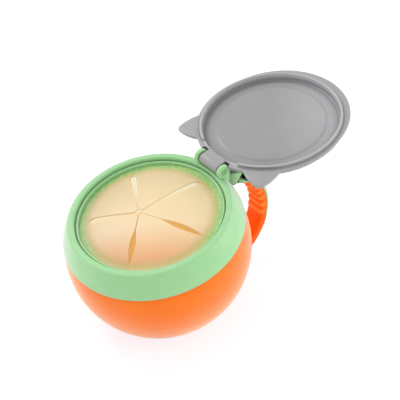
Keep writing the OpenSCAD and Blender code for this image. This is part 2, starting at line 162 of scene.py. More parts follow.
def arc(cx, cy, r, a0, a1, steps):
    """Points on an arc, angles in degrees."""
    return [(cx + r * math.cos(math.radians(a0 + (a1 - a0) * k / steps)),
             cy + r * math.sin(math.radians(a0 + (a1 - a0) * k / steps))) for k in range(steps + 1)]


def rings(loops, closed=False):
    """Verts and faces that join equal loops of points in turn, capped at both ends unless closed."""
    count = len(loops[0])
    verts = [p for loop in loops for p in loop]
    faces = []
    last = len(loops) if closed else len(loops) - 1
    for i in range(last):
        j = (i + 1) % len(loops)
        for k in range(count):
            m = (k + 1) % count
            faces.append((i * count + k, i * count + m, j * count + m, j * count + k))
    if not closed:
        faces.append(tuple(reversed(range(count))))
        faces.append(tuple(range((len(loops) - 1) * count, len(loops) * count)))
    return verts, faces


def revolve(profile, segments):
    """Verts and faces of a closed (r, n) profile turned about the n axis."""
    count = len(profile)
    verts, faces = [], []
    for i in range(segments):
        a = 2 * math.pi * i / segments
        verts += [(r * math.cos(a), r * math.sin(a), n) for r, n in profile]
    for i in range(segments):
        j = (i + 1) % segments
        for k in range(count):
            m = (k + 1) % count
            faces.append((i * count + k, j * count + k, j * count + m, i * count + m))
    return verts, faces


def inset(outline, d):
    """An anticlockwise outline moved inwards by d."""
    out = []
    for i, p in enumerate(outline):
        a, b = Vector(outline[i - 1]), Vector(outline[(i + 1) % len(outline)])
        p = Vector(p)
        e0, e1 = (p - a), (b - p)
        if e0.length < 1e-9:
            e0 = e1
        if e1.length < 1e-9:
            e1 = e0
        n = Vector((-e0.y, e0.x)).normalized() + Vector((-e1.y, e1.x)).normalized()
        n.normalize()
        lean = max(0.5, n.dot(Vector((-e0.y, e0.x)).normalized()))
        out.append(tuple(p + n * (d / lean)))
    return out


def prism(outline, y0, y1, bevel, steps=3):
    """A prism along Y with softened edges, from an anticlockwise outline of (x, z)."""
    loops = []
    for k in range(steps + 1):
        a = math.pi / 2 * k / steps
        d, y = bevel * (1 - math.sin(a)), y0 + bevel * (1 - math.cos(a))
        loops.append([(x, y, z) for x, z in inset(outline, d)])
    for k in range(steps + 1):
        a = math.pi / 2 * (1 - k / steps)
        d, y = bevel * (1 - math.sin(a)), y1 - bevel * (1 - math.cos(a))
        loops.append([(x, y, z) for x, z in inset(outline, d)])
    return rings(loops)


def join(*parts):
    """Several verts and faces pairs as one."""
    verts, faces = [], []
    for v, f in parts:
        base = len(verts)
        verts += v
        faces += [tuple(i + base for i in face) for face in f]
    return verts, faces


def smoothstep(x, lo, hi):
    t = max(0.0, min(1.0, (x - lo) / (hi - lo)))
    return t * t * (3 - 2 * t)


def mirrored_span(side, near, far):
    """The two Y values of a slab from near to far, on the side given as -1 or 1, lower one first."""
    return sorted((side * near, side * far))


# Shading helpers

def srgb(r, g, b):
    def one(c):
        c /= 255
        return c / 12.92 if c <= 0.04045 else ((c + 0.055) / 1.055) ** 2.4
    return (one(r), one(g), one(b), 1.0)


class Shading:
    """The nodes of one material or world, with short ways to add and link them."""

    def __init__(self, owner):
        self.nodes, self.links = owner.node_tree.nodes, owner.node_tree.links

    def put(self, socket, value):
        """Links another node's output to a socket, or sets a plain value on it."""
        if isinstance(value, bpy.types.NodeSocket):
            self.links.new(value, socket)
        else:
            socket.default_value = value

    def add(self, kind, inputs=None, **settings):
        node = self.nodes.new("ShaderNode" + kind)
        for name, value in settings.items():
            setattr(node, name, value)
        for key, value in (inputs or {}).items():
            self.put(node.inputs[key], value)
        return node

    def math(self, operation, *values):
        return self.add("Math", dict(enumerate(values)), operation=operation).outputs[0]

    def vector(self, operation, *values):
        return self.add("VectorMath", dict(enumerate(values)), operation=operation).outputs

    def span(self, value, lo, hi, to_lo=0.0, to_hi=1.0, smooth=False):
        """A value's place between lo and hi, mapped to between to_lo and to_hi."""
        limits = {"Value": value, "From Min": lo, "From Max": hi, "To Min": to_lo, "To Max": to_hi}
        kind = "SMOOTHSTEP" if smooth else "LINEAR"
        return self.add("MapRange", limits, interpolation_type=kind).outputs["Result"]

    def mix(self, factor, under, over, **settings):
        node = self.add("Mix", {}, data_type="RGBA", **settings)
        for key, value in (("Factor", factor), ("A", under), ("B", over)):
            self.put(node.inputs[key], value)
        return node.outputs["Result"]

    def ramp(self, value, stops):
        """A colour from (position, colour) stops."""
        node = self.add("ValToRGB", {"Fac": value})
        points = node.color_ramp.elements
        while len(points) < len(stops):
            points.new(0.5)
        for point, (at, colour) in zip(points, stops):
            point.position, point.color = at, colour
        return node.outputs["Color"]

    def coords(self):
        """The object's own coordinates, in metres."""
        known = [n for n in self.nodes if n.type == "TEX_COORD"]
        return (known[0] if known else self.add("TexCoord")).outputs["Object"]

    def noise(self, scale, detail):
        inputs = {"Vector": self.coords(), "Scale": scale, "Detail": detail}
        return self.add("TexNoise", inputs).outputs["Fac"]

    def across(self, direction, lo, hi):
        """0 to 1 along a direction through the object, between two distances in mm."""
        return self.span(self.vector("DOT_PRODUCT", self.coords(), direction)["Value"], lo * MM, hi * MM)

    def radial(self):
        """Distance from the rim's axis, in metres."""
        from_centre = self.vector("SUBTRACT", self.coords(), (0, 0, CENTRE_H * MM))["Vector"]
        untilt = {"Vector": from_centre, "Rotation": (0, TILT, 0)}
        upright = self.add("Mapping", untilt, vector_type="POINT").outputs["Vector"]
        flat = self.vector("MULTIPLY", upright, (1, 1, 0))["Vector"]
        return self.vector("LENGTH", flat)["Value"]

    def base(self):
        """What the shader's base colour comes from now."""
        return self.nodes["Principled BSDF"].inputs["Base Color"].links[0].from_socket

    def paint(self, colour):
        self.put(self.nodes["Principled BSDF"].inputs["Base Color"], colour)


def material(name, base, second, roughness, mottle=220.0, grain=1400.0, bump=0.04, sss=0.0,
             radius=(1.0, 0.6, 0.4), scale=0.004, specular=0.4, sheen=0.0, sheen_tint=(1, 1, 1, 1),
             painted_crevice_shade=None):
    """Moulded plastic or elastomer: two close tones in a soft mottle, a fine grain and a little change in
    roughness. Painted crevice shade is (colour, reach in metres, openness where it is full, and where it
    ends):
    the colour darkens towards it where ambient occlusion finds other surfaces near."""
    mat = bpy.data.materials.new(name)
    mat.use_nodes = True
    shading = Shading(mat)
    colour = shading.ramp(shading.noise(mottle, 3.0), [(0.35, base), (0.65, second)])
    if painted_crevice_shade:
        # Painted shade: creases, corners and spots under nearby parts turn towards the shade colour.
        shade_colour, reach, dark_at, clear_at = painted_crevice_shade
        openness = shading.add("AmbientOcclusion", {"Distance": reach}, samples=8).outputs["AO"]
        colour = shading.mix(shading.span(openness, dark_at, clear_at), shade_colour, colour)
    shading.paint(colour)
    fine = shading.noise(grain, 2.0)
    dent = shading.add("Bump", {"Strength": bump, "Distance": 0.0002, "Height": fine})
    sockets = {
        "Normal": dent.outputs["Normal"],
        "Roughness": shading.span(fine, 0.0, 1.0, roughness - 0.04, roughness + 0.05),
        "Subsurface Weight": sss, "Subsurface Radius": radius, "Subsurface Scale": scale,
        "Specular IOR Level": specular,
        "Sheen Weight": sheen, "Sheen Roughness": 0.42, "Sheen Tint": sheen_tint}
    for socket, value in sockets.items():
        shading.put(shading.nodes["Principled BSDF"].inputs[socket], value)
    return mat


def shade_across(mat, direction, lo, hi, gain):
    """Paints light or shade into a material: its lightness changes steadily along a direction, by the
    factor gain at its end.
    """
    shading = Shading(mat)
    factor = shading.ramp(shading.across(direction, lo, hi),
                          [(0.0, (1, 1, 1, 1)), (1.0, (gain, gain, gain, 1))])
    shading.paint(shading.mix(1.0, shading.base(), factor, blend_type="MULTIPLY"))


def finger_rib_highlight(mat):
    """Painted highlights: lighter orange along the crests of the finger ribs, fading away from the loop's
    inside.
    The phase is 0 at the first of the six ribs and 5 at the last."""
    shading = Shading(mat)
    math_node = shading.math
    split = shading.add("SeparateXYZ", {0: shading.coords()}).outputs
    x = math_node("SUBTRACT", split["X"], LOOP[0] * MM)
    z = math_node("SUBTRACT", split["Z"], LOOP[1] * MM)
    from_first = math_node("SUBTRACT", FINGER_FIRST, math_node("ARCTAN2", z, x))
    phase = math_node("DIVIDE", from_first, FINGER_STEP)
    wave = math_node("COSINE", math_node("MULTIPLY", phase, 2 * math.pi))
    crest = math_node("MULTIPLY_ADD", wave, 0.5, 0.5)
    in_row = math_node("SMOOTH_MIN", math_node("ADD", phase, 0.8), math_node("SUBTRACT", 5.9, phase), 0.5)
    in_row = math_node("MINIMUM", math_node("MAXIMUM", in_row, 0.0), 1.0)
    reach = math_node("SQRT", math_node("ADD", math_node("MULTIPLY", x, x), math_node("MULTIPLY", z, z)))
    fade = shading.span(reach, (INNER_R - 0.8) * MM, (INNER_R + 5.4) * MM, 1.0, 0.0, smooth=True)
    highlight_share = math_node("MULTIPLY", math_node("MULTIPLY", crest, in_row), fade)
    shading.paint(shading.mix(highlight_share, shading.base(), srgb(255, 158, 62)))


# Materials

def skin_material():
    """Soft, slightly clear peach membrane, paler at the back than at the front, green on the ledge, in
    painted light
    and shade: darker under the far rim, along the ridge wall and to the left, pinker at the front where the
    lit bowl glows through.
    """
    mat = material("membrane_peach", srgb(244, 220, 180), srgb(246, 223, 184), 0.38, sss=0.3,
                   radius=(1.0, 0.6, 0.35), scale=0.005, specular=0.35)
    shading = Shading(mat)
    # Painted light and shade from near to far: darker under the far rim, pinker and darker at the front
    # where the dome turns from the light and the lit bowl glows through.
    along = shading.across(NEAR_SIDE, -35, 33)
    tone = shading.ramp(along, [
        (0.0, srgb(226, 198, 152)), (0.2, srgb(232, 204, 160)), (0.5, srgb(246, 214, 169)),
        (0.72, srgb(252, 216, 174)), (0.88, srgb(250, 197, 150)), (1.0, srgb(246, 176, 128))])
    blotch = shading.noise(420.0, 2.0)
    ledge = shading.ramp(blotch, [(0.35, srgb(152, 200, 118)), (0.65, srgb(190, 212, 142))])
    wavy_r = shading.math("MULTIPLY_ADD", blotch, 1.4 * MM, shading.radial())
    # Painted shade: a darker band along the foot of the ridge wall.
    rim_shade_share = shading.span(wavy_r, 30.5 * MM, 35.2 * MM, 0.0, 0.75, smooth=True)
    rim_shade_tone = shading.mix(rim_shade_share, tone, srgb(216, 188, 128))
    ledge_share = shading.math("MULTIPLY", shading.span(wavy_r, 34.0 * MM, 36.0 * MM, smooth=True),
                               shading.span(along, 0.8, 0.97, 1.0, 0.25))
    shading.paint(shading.mix(ledge_share, rim_shade_tone, ledge))
    # Painted shade: the membrane darkens towards its left side.
    shade_across(mat, LEFT_SIDE, 4, 34, 0.80)
    return mat


def slit_material():
    """The thin web in the slits, in painted light: pale at the back as if its walls were lit, amber at the
    front in place of the lit orange bowl seen through.
    """
    mat = material("membrane_edge", srgb(250, 228, 190), srgb(252, 230, 194), 0.45, sss=0.3,
                   radius=(1.0, 0.6, 0.3), scale=0.003, specular=0.2)
    shading = Shading(mat)
    shading.paint(shading.ramp(shading.across(NEAR_SIDE, -8, 14), [
        (0.0, srgb(255, 236, 200)), (0.5, srgb(255, 230, 190)), (0.8, srgb(242, 184, 104)),
        (1.0, srgb(240, 172, 88))]))
    return mat


# Painted shade: the bowl turns deep orange in the narrow seam under the collar's edge.
ORANGE = material("bowl_orange", srgb(255, 118, 8), srgb(255, 124, 14), 0.34, sss=0.03,
                  radius=(1.0, 0.35, 0.1), specular=0.1, sheen=1.0, sheen_tint=(1, 0.92, 0.72, 1),
                  painted_crevice_shade=(srgb(222, 62, 0), 0.003, 0.55, 0.97))
# Painted shade: darker green in the collar's grooves and inner corners.
GREEN = material("collar_green", srgb(156, 210, 150), srgb(161, 213, 155), 0.38, sss=0.03,
                 radius=(0.6, 1.0, 0.5), specular=0.2, sheen=1.0,
                 painted_crevice_shade=(srgb(116, 178, 108), 0.004, 0.2, 0.85))
# The collar's green with strong painted shade: nearly black-green in the bracket's pocket and under the
# lid.
SHADED_GREEN = material("bracket_green_painted_shade", srgb(156, 210, 150), srgb(161, 213, 155), 0.4, sss=0.02,
                      radius=(0.6, 1.0, 0.5), specular=0.2, sheen=0.3,
                      painted_crevice_shade=(srgb(2, 48, 6), 0.016, 0.42, 0.85))
# Painted shade between the finger ribs and at the grip's joints; painted highlights on the rib crests
# follow.
GRIP = material("grip_orange", srgb(255, 96, 0), srgb(255, 106, 2), 0.5, mottle=500, bump=0.08, sss=0.12,
                radius=(1.0, 0.35, 0.05), specular=0.08, sheen=0.25, sheen_tint=(1, 0.8, 0.45, 1),
                painted_crevice_shade=(srgb(225, 60, 0), 0.003, 0.3, 0.85))
finger_rib_highlight(GRIP)
# Painted shade: darker grey in the lid's grooves and corners.
GREY = material("lid_grey", srgb(160, 160, 162), srgb(162, 162, 164), 0.36, mottle=90, bump=0.01, sss=0.02,
                specular=0.35, painted_crevice_shade=(srgb(66, 67, 70), 0.0055, 0.2, 0.85))
# A darker copy of the lid's grey for the panel under the lid: painted shade, deepest by its wall.
PANEL_LIGHT_AND_SHADE_GREY = material("lid_panel_painted_light_and_shade", srgb(152, 152, 154), srgb(154, 154, 156), 0.34, mottle=90,
                      bump=0.01, sss=0.02, specular=0.35, painted_crevice_shade=(srgb(50, 51, 54), 0.006, 0.22, 0.85))
# Painted light: the panel grows lighter towards the right.
shade_across(PANEL_LIGHT_AND_SHADE_GREY, RIGHT_SIDE, 62, 100, 1.42)
# A lighter copy of the lid's grey: a painted highlight along the top of the sealing rib.
RIB_HIGHLIGHT_GREY = material("lid_rib_painted_highlight", srgb(180, 180, 182), srgb(184, 184, 186), 0.3, mottle=90, bump=0.01,
                    specular=0.45, painted_crevice_shade=(srgb(112, 113, 116), 0.0012, 0.2, 0.85))
SKIN = skin_material()
SLIT = slit_material()


# Bowl

def bowl_mesh(segments=192):
    """Foot, ball, shoulder and beaded neck outside, then down the inside to the flat floor."""
    centre = Vector((0, 0, CENTRE_H))
    foot_r = math.sqrt(BALL_R ** 2 - CENTRE_H ** 2)
    foot_in_r = foot_r - FOOT_W
    seam_r = math.sqrt(BALL_R ** 2 - SHOULDER_H ** 2)
    inner_r = BALL_R - BOWL_WALL
    inner_top_h = SHOULDER_H - SHOULDER_T
    inner_top_r = math.sqrt(inner_r ** 2 - inner_top_h ** 2)
    floor_r = math.sqrt(inner_r ** 2 - (CENTRE_H - FLOOR_T) ** 2)
    neck_in_r = NECK_R - NECK_WALL
    bead_h = (SHOULDER_H + NECK_TOP_H) / 2 + 1
    edge = 0.5

    def sweep(a, b, steps):
        """Points along the great circle from a to b, about the ball's centre."""
        a, b = a - centre, b - centre
        turn = a.angle(b)
        return [centre + (a * math.sin(turn * (1 - k / steps)) + b * math.sin(turn * k / steps))
                / math.sin(turn) for k in range(steps + 1)]

    loops = []
    for i in range(segments):
        c, s = math.cos(2 * math.pi * i / segments), math.sin(2 * math.pi * i / segments)

        def level(r, z):
            return Vector((r * c, r * s, z))

        def tilted(r, n):
            return RIM @ Vector((r * c, r * s, n))

        points = [level(0.01, 0), level(PAD_R, 0), level(PAD_R, FOOT_RECESS), level(foot_in_r, FOOT_RECESS),
                  level(foot_in_r, 0.15), level(foot_in_r + 0.3, 0), level(foot_r - 1.2, 0),
                  level(foot_r - 0.3, 0.25)]
        points += sweep(level(foot_r + 0.45, 0.65), tilted(seam_r, SHOULDER_H), 40)
        points += [tilted(seam_r - 0.25, SHOULDER_H), tilted(NECK_R + edge, SHOULDER_H),
                   tilted(NECK_R, SHOULDER_H + edge), tilted(NECK_R, bead_h - edge),
                   tilted(NECK_R + BEAD, bead_h), tilted(NECK_R, bead_h + edge),
                   tilted(NECK_R, NECK_TOP_H - edge), tilted(NECK_R - edge, NECK_TOP_H),
                   tilted(neck_in_r + edge, NECK_TOP_H), tilted(neck_in_r, NECK_TOP_H - edge),
                   tilted(neck_in_r, inner_top_h + 0.8), tilted(neck_in_r + 0.8, inner_top_h)]
        points += sweep(tilted(inner_top_r, inner_top_h), level(floor_r + 1.0, FLOOR_T + 0.6), 36)
        points += [level(floor_r - 0.6, FLOOR_T + 0.05), level(floor_r - 2, FLOOR_T), level(0.01, FLOOR_T)]
        loops.append([tuple(p) for p in points])
    verts, faces = rings(loops, closed=True)
    return verts, [f for f in faces if len(set(f)) == 4]


bowl = make("bowl_shell", *bowl_mesh(), ORANGE, "bowl", "bowl_plastic")
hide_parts("bowl")


# Collar, with its hinge lugs

def collar_profile():
    """Outer side and lip, then groove, sealing ridge, ledge, and the skirt round the bowl's neck."""
    seam = math.degrees(math.asin((SEAT_H + 0.35) / COLLAR_R))
    top = math.degrees(math.atan2(CREST_H, CREST_R))
    foot_r = math.sqrt(COLLAR_R ** 2 - SEAT_H ** 2)
    side = arc(0, 0, COLLAR_R, seam, top, 26)
    lip = arc(CREST_R, CREST_H, LIP_ROUND + 0.02, top, 90, 8)
    inner = rounded([
        (CREST_R, LIP_H, 0), (LIP_IN_R, LIP_H, 0.8), (LIP_IN_R, GROOVE_H, 0.15),
        (RIDGE_OUT_R, GROOVE_H, 0.15), (RIDGE_OUT_R, RIDGE_H, 0.5), (RIDGE_IN_R, RIDGE_H, 0.5),
        (RIDGE_IN_R, LEDGE_H, 0.2), (LEDGE_R, LEDGE_H, 0.3), (LEDGE_R, LEDGE_UNDER_H, 0.3),
        (SKIRT_R, LEDGE_UNDER_H, 0.3),
        (SKIRT_R, SEAT_H + 1, 0.4), (SKIRT_OUT_R, SEAT_H + 1, 0.4), (SKIRT_OUT_R, LEDGE_UNDER_H - 0.4, 0.3),
        (SIDE_IN_TOP_R, LEDGE_UNDER_H - 0.3, 0), (SIDE_IN_LOW_R, SEAT_H, 0.2),
        (foot_r - 0.35, SEAT_H, 0)], 4)
    return side + lip[1:] + inner[1:]


def hinge_lug(side):
    """A round eye on a stalk that is buried in the collar's lip."""
    x, h = HINGE
    buried_x = LIP_IN_R + 0.4
    outline = arc(x, h, LUG_R, 0, 178, 26)
    outline += [(buried_x, CREST_H + 0.9), (buried_x, GROOVE_H + 0.8), (x + 2.3, LEDGE_UNDER_H + 1.5)]
    return prism(outline, *mirrored_span(side, LUG_IN + LUG_GAP, LUG_OUT), 0.28)


collar_mesh = join(revolve(collar_profile(), 256), hinge_lug(-1), hinge_lug(1))
collar = make("collar_shell", *collar_mesh, GREEN, "collar", "collar_plastic", RIM)
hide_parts("collar")


# Bracket between collar and handle

def bracket_mesh():
    """Two flat cheeks with a pocket between them."""
    low = (LOOP[0] + INNER_R * math.cos(CHEEK_LOW), LOOP[1] + INNER_R * math.sin(CHEEK_LOW))
    end = (low[0] + BRACKET_T * math.cos(CHEEK_LEAN), low[1] + BRACKET_T * math.sin(CHEEK_LEAN))
    outline = rounded([(BRACKET_X, low[1] + 2, 0), (*low, 0.6), (*end, 0.8), (LOOP[0], BRACKET_TOP, 0),
                       (BRACKET_X, BRACKET_TOP, 0)])
    return join(*[prism(outline, *mirrored_span(side, CHEEK_IN, CHEEK_OUT), 0.35) for side in (-1, 1)])


make("handle_bracket", *bracket_mesh(), SHADED_GREEN, "collar", "collar_plastic")


# Membrane

def slit_half_width(along, length, slit):
    """Half a slit's width at a distance from the star: a leaf at the end of a front slit, else a wedge."""
    if along >= length:
        return CLOSED_HALF_W
    if slit in FRONT_SLITS:
        leaf = length * LEAF_SHARE
        d = along - (length - leaf)
        return LEAF_LINE + (LEAF_HALF_W * math.sin(math.pi * min(1.0, d / leaf)) ** 0.85 if d > 0 else 0.0)
    wedge = WEDGE_START + WEDGE_GROWTH * min(1.0, along / (WEDGE_SHARE * length)) ** 1.35
    tail = (length - along) / (TAIL_SHARE * length)
    return max(CLOSED_HALF_W, wedge * math.sqrt(max(0.0, 1 - (1 - min(1.0, tail)) ** 2)))


def dome_height(r):
    """Height of the membrane's top: a shallow dome inside the ledge, flat on it."""
    ball = (LEDGE_R ** 2 + DOME_RISE ** 2) / (2 * DOME_RISE)
    low = LEDGE_H + SKIN_T
    if r < LEDGE_R:
        return low + DOME_RISE - ball + math.sqrt(ball ** 2 - r ** 2)
    return low


def flap_sector(k, inner=40, runs=56, hole_rows=3, web_rows=50):
    """One flap's verts and faces, from cut to cut, and the numbers of the faces of its thin web, which
    lies in the star's hole and along the slits. A row has five close points at each slit."""
    outer = RIDGE_IN_R - 0.05
    star = Vector(STAR)
    slits = (k - 1, k % 5)
    ends = [Vector((SLIT_END_R * math.cos(math.radians(FLAP_ANGLE * j)),
                    SLIT_END_R * math.sin(math.radians(FLAP_ANGLE * j)))) - star for j in slits]
    lengths = [v.length for v in ends]
    a0, a1 = (math.atan2(v.y, v.x) for v in ends)
    if a1 < a0:
        a1 += 2 * math.pi
    span = a1 - a0
    star_edge = STAR_R + EDGE_STEP
    steps = [("hole", r) for r in (0.02, 0.4, 0.75, STAR_R - EDGE_STEP, star_edge)]
    steps += [("run", (i / runs) ** 0.94) for i in range(1, runs + 1)]

    def from_star(kind, value, a):
        """Distance from the star's middle: as given in its hole, then a share of the way to the ridge."""
        if kind == "hole":
            return value
        b = star.dot(Vector((math.cos(a), math.sin(a))))
        reach = -b + math.sqrt(b * b + outer ** 2 - star.length_squared)
        return star_edge + (reach - star_edge) * value

    def to_edge(rho, turn, half, is_cut):
        """Distance from a slit's edge, with a large value where the skin isn't cut."""
        return rho * turn - half if is_cut else 9.0

    top, bottom = [], []
    for kind, value in steps:
        along = [from_star(kind, value, a) for a in (a0, a1)]
        cut = [rho < length for rho, length in zip(along, lengths)]
        half = [slit_half_width(rho, length, slit) for rho, length, slit in zip(along, lengths, slits)]
        lead = [[0.03 if is_cut else 0.0, 0.55 * w, max(0.06, w - EDGE_STEP), w + EDGE_STEP, w + 0.34]
                for w, is_cut in zip(half, cut)]
        left = [min(d / along[0], span * 0.49) for d in lead[0]]
        right = [span - min(d / along[1], span * 0.49) for d in lead[1]]
        fill = [left[-1] + (right[-1] - left[-1]) * j / inner for j in range(1, inner)]
        line_t, line_b = [], []
        for turn in left + fill + right[::-1]:
            a = a0 + turn
            rho = from_star(kind, value, a)
            p = star + Vector((math.cos(a), math.sin(a))) * rho
            edge = min(to_edge(rho, turn, half[0], cut[0]), to_edge(rho, span - turn, half[1], cut[1]),
                       rho - STAR_R)
            web = 1 - smoothstep(edge, -0.12, 0.12)
            lip = 1 - smoothstep(edge, 0.3, 2.4)
            under = SKIN_T + LIP_EXTRA * lip * (1 - web)
            height = dome_height(p.length)
            line_t.append((p.x, p.y, height - WEB_DROP * web))
            line_b.append((p.x, p.y, height - max(under, WEB_UNDER * web)))
        top.append(line_t)
        bottom.append(line_b)

    rows, wide = len(top) - 1, len(top[0])
    verts = [p for line in top + bottom for p in line]
    below = len(top) * wide
    faces, web_faces = [], []
    for i in range(rows):
        for j in range(wide - 1):
            a, b, c, d = i * wide + j, i * wide + j + 1, (i + 1) * wide + j + 1, (i + 1) * wide + j
            in_web = i < hole_rows or ((j < 2 or j > wide - 4) and i < web_rows)
            (web_faces if in_web else faces).append((a, d, c, b))
            faces.append((below + a, below + b, below + c, below + d))
    for i in range(rows):
        a, d = i * wide, (i + 1) * wide
        faces.append((a, below + a, below + d, d))
        a, d = i * wide + wide - 1, (i + 1) * wide + wide - 1
        faces.append((a, d, below + d, below + a))
    for j in range(wide - 1):
        faces.append((j, j + 1, below + j + 1, below + j))
        a = rows * wide + j
        faces.append((a, below + a, below + a + 1, a + 1))
    return verts, faces + web_faces, range(len(faces), len(faces) + len(web_faces))


for k in range(1, 6):
    verts, faces, web = flap_sector(k)
    flap = make(f"membrane_{k}", verts, faces, SKIN, None, "membrane_rubber", RIM, sharp=42,
                extras=[(SLIT, web)])
    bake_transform(flap)
    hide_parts(f"flap_{k}", *(["membrane_rim"] if k == 1 else []))


# Lid

def lid_reach(a):
    """Distance from the lid's centre to the flange's edge at an angle from the hinge, in radians:
    the furthest of the round flange, the thumb lip and the two ears."""
    b = THUMB_X * math.cos(a)
    reach = max(FLANGE_R, b + math.sqrt(max(0.0, b * b + THUMB_R ** 2 - THUMB_X ** 2)))
    for sign in (-1, 1):
        off = a - sign * EAR_ANGLE
        off = (off + math.pi) % (2 * math.pi) - math.pi
        if abs(off) > 0.5:
            continue
        c, s = math.cos(off), abs(math.sin(off))
        b = EAR_SIDE_X * c - EAR_SIDE_Y * s
        far = b * b - (EAR_SIDE_X ** 2 + EAR_SIDE_Y ** 2 - EAR_SIDE_R ** 2)
        ear = b + math.sqrt(far) if far > 0 else 0
        tip = EAR_TIP_X * c
        far = tip * tip - (EAR_TIP_X ** 2 - EAR_TIP_R ** 2)
        if ear * c > EAR_MEET_X:
            ear = tip + math.sqrt(far) if far > 0 else EAR_MEET_X / c
        reach = max(reach, ear)
    return reach


def lid_profile(off, edge):
    """The lid's section at an angle from the hinge, with the flange's edge given, in three lists:
    the panel's underside with its wall, the sealing rib, and the rest."""
    c = math.cos(off)
    if off < NOTCH_ANGLE:
        edge = min(edge, NOTCH_X / c)
    if off > NOTCH_ANGLE:
        edge = max(edge, RIB_OUT_R + 0.8)
    wall = min(RIB_IN_R, TAB_X / c) if off < 0.5 else RIB_IN_R
    rib = RIB_H * smoothstep(math.degrees(off), RIB_NONE, RIB_FULL)
    has_rib, full_rib = rib > 0, rib > 0.05
    low, high = FLANGE_H, FLANGE_H + LID_T
    crest = low - rib
    out_r = RIB_OUT_R if full_rib else min(RIB_OUT_R, edge - 0.9)
    panel = [(0.01, MIDDLE_H), (PRESS_R - 6, MIDDLE_H), (PRESS_R - 0.5, MIDDLE_H),
             (PRESS_R, MIDDLE_H + 0.08), (PRESS_R + 0.7, MIDDLE_H + 0.6), (PRESS_R + 1.3, MIDDLE_H + 0.72),
             (wall - 1.4, PANEL_H - 0.2), (wall - 0.6, PANEL_H - 0.2), (wall - 0.15, PANEL_H - 0.5),
             (wall, PANEL_H - 1.0), (wall, low + 0.2)]
    ridge = [(wall + 0.15, low - 0.15 * has_rib), (wall + 0.15, crest + 0.62 * full_rib),
             (wall + 0.3, crest + 0.2 * full_rib), (wall + 0.6, crest + 0.02),
             (out_r - 0.45, crest + 0.02), (out_r - 0.18, crest + 0.2 * full_rib),
             (out_r, crest + 0.6 * full_rib), (out_r + 0.02, low - 0.2 * has_rib), (out_r + 0.25, low)]
    rest = [(max(out_r + 0.3, edge - 0.6), low), (edge - 0.18, low + 0.12), (edge, low + 0.5),
            (edge, high - 0.5), (edge - 0.18, high - 0.12), (max(out_r + 0.3, edge - 0.6), high)]
    back = RIB_IN_R + LID_T
    rest += [(min(back + 0.5, edge - 0.62), high), (min(back + 0.12, edge - 0.7), high + 0.12),
             (min(back, edge - 0.8), high + 0.5)]
    rest += [(min(r, edge - 0.8), n) for r, n in arc(RIB_IN_R, PANEL_H, LID_T, 0, 90, 8)]
    rest += [(PRESS_R + 1, MIDDLE_H + LID_T + 0.25), (PRESS_R, MIDDLE_H + LID_T + 0.08),
             (PRESS_R - 1.2, MIDDLE_H + LID_T), (0.01, MIDDLE_H + LID_T)]
    return panel, ridge, rest


def lid_mesh(count=900):
    """The lid's verts and faces, and the numbers of its panel's and its rib's faces."""
    angles = [2 * math.pi * i / count for i in range(count)]
    reach = [lid_reach(a) for a in angles]
    for _ in range(6):
        reach = [0.25 * reach[i - 1] + 0.5 * reach[i] + 0.25 * reach[(i + 1) % count] for i in range(count)]
    loops = []
    for a, edge in zip(angles, reach):
        off = abs((a + math.pi) % (2 * math.pi) - math.pi)
        panel, ridge, rest = lid_profile(off, edge)
        ca, sa = math.cos(a), math.sin(a)
        loops.append([(r * ca, r * sa, n) for r, n in panel + ridge + rest])
    verts, faces = rings(loops, closed=True)
    wide, wall_end = len(loops[0]), len(panel) - 1
    panel_faces = [i for i in range(len(faces)) if i % wide < wall_end - 1]
    rib_faces = [i for i in range(len(faces)) if wall_end <= i % wide < wall_end + 6]
    return verts, faces, panel_faces, rib_faces


def hinge_tab():
    """The plate and barrel that join the lid to its pin."""
    x, h = HINGE
    low, high = FLANGE_H, FLANGE_H + LID_T
    plate = [(TAB_X + 0.05, low), (x, low), (x, high), (TAB_X + 0.05, high)]
    barrel = arc(x, h, h - FLANGE_H, 0, 350, 35)
    return join(*[prism(outline, -TAB_HALF_W, TAB_HALF_W, 0.15) for outline in (plate, barrel)])


verts, faces, panel_faces, rib_faces = lid_mesh()
# The panel and the rib's top take the darker and lighter copies of the lid's grey: painted shade and light.
lid = make("lid_shell", verts, faces, GREY, "lid", "lid_plastic", LID, sharp=32,
           extras=[(PANEL_LIGHT_AND_SHADE_GREY, panel_faces), (RIB_HIGHLIGHT_GREY, rib_faces)])
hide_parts("lid")
make("lid_hinge_tab", *hinge_tab(), GREY, "lid", "lid_plastic", LID)


# Handle

def on_loop(angle, r, y):
    """A point on the handle's loop, at an angle in degrees."""
    a = math.radians(angle)
    return (LOOP[0] + r * math.cos(a), y, LOOP[1] + r * math.sin(a))


def grip_section(outer, outer_round):
    """The grip's section as (radius on the loop, y)."""
    return rounded([(INNER_R, -GRIP_HALF_W, GRIP_ROUND), (outer, -GRIP_HALF_W, outer_round),
                    (outer, GRIP_HALF_W, outer_round), (INNER_R, GRIP_HALF_W, GRIP_ROUND)], 6)


